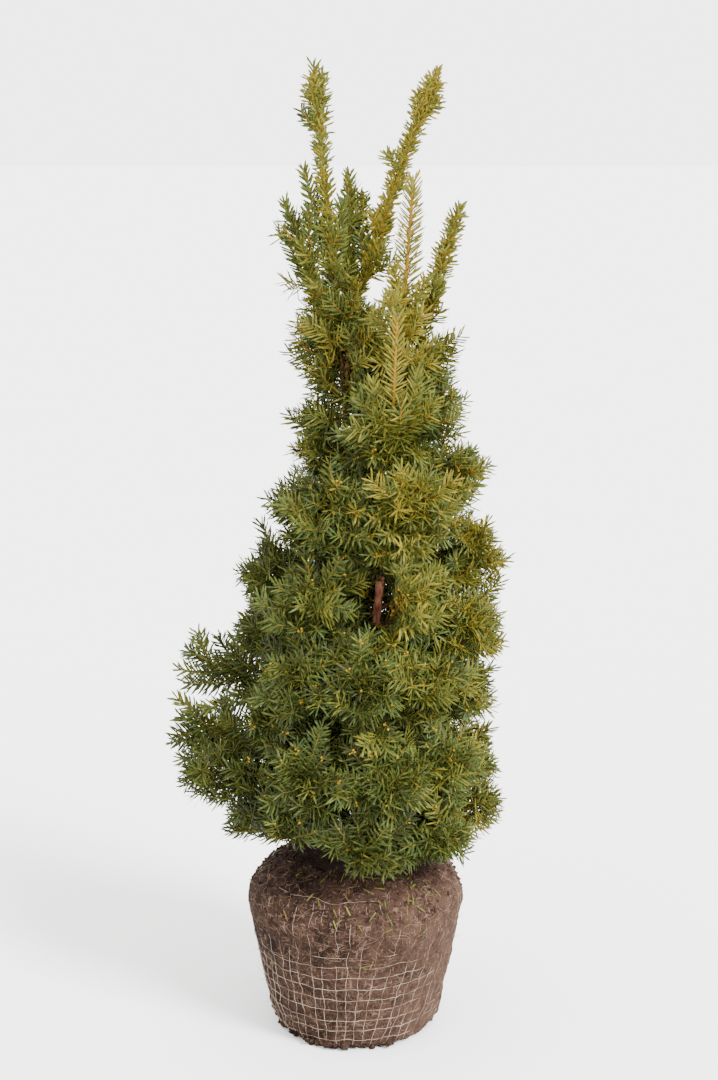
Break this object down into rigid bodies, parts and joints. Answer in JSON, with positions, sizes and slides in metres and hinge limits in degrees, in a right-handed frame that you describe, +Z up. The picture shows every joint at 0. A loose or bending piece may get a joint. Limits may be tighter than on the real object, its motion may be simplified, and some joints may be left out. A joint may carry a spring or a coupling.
{
  "type": "english yew on a netted root ball",
  "caption": "Young evergreen conifer with several upright leaders and needled side shoots, standing on a netted ball of soil.",
  "frame": {"origin": "centre of the root ball's flat underside", "axes": "+Z up along the plant, +X to the plant's right as seen from the front, +Y to its back"},
  "size_m": [0.4058, 0.3122, 1.1319],
  "materials": {
    "soil": "moist fibrous loam, matt",
    "net_string": "pale string, matt",
    "bark": "thin red-brown bark",
    "needles_deep_green": "glossy deep green needles",
    "needles_green": "glossy mid green needles",
    "needles_yellow_green": "glossy yellow-green needles"
  },
  "bodies": {
    "root": {"root_ball": "soil", "ball_net": "net_string", "trunk": "bark", "left_leader": "bark", "second_leader": "bark", "right_leader": "bark", "skirt_right_bough": "bark", "far_left_bough": "bark", "far_left_upper_bough": "bark", "skirt_right": "needles_deep_green", "skirt_front_right": "needles_deep_green", "skirt_front": "needles_deep_green", "skirt_front_left": "needles_deep_green", "skirt_left": "needles_deep_green", "skirt_back_left": "needles_deep_green", "skirt_back_right": "needles_deep_green", "left_low": "needles_deep_green", "far_left": "needles_deep_green", "front_left_low": "needles_deep_green", "front_low": "needles_deep_green", "front_right_low": "needles_deep_green", "right_low": "needles_deep_green", "back_right_low": "needles_deep_green", "back_left_low": "needles_deep_green", "left_front": "needles_green", "far_left_upper": "needles_green", "front_left_middle": "needles_green", "front_middle": "needles_green", "front_right_middle": "needles_green", "right_middle": "needles_green", "back_right_middle": "needles_green", "back_left_middle": "needles_green", "left_middle": "needles_green", "left_upper": "needles_green", "front_left_upper": "needles_green", "front_upper": "needles_green", "right_shoulder": "needles_green", "right_upper": "needles_green", "back_right_upper": "needles_green", "back_left_upper": "needles_green", "left_high": "needles_green", "front_left_high": "needles_green", "front_right_high": "needles_green", "right_high": "needles_green", "back_high": "needles_green", "left_crown": "needles_yellow_green", "front_crown": "needles_yellow_green", "right_crown": "needles_yellow_green", "back_crown": "needles_yellow_green", "left_shoulder": "needles_yellow_green", "front_shoulder": "needles_yellow_green", "right_shoot": "needles_yellow_green", "back_shoulder": "needles_yellow_green", "centre_front": "needles_yellow_green", "upper_left": "needles_yellow_green", "inner_spray": "needles_yellow_green", "left_plume": "needles_yellow_green", "second_plume": "needles_yellow_green", "centre_plume": "needles_yellow_green", "right_plume": "needles_yellow_green"}
  },
  "joints": []
}
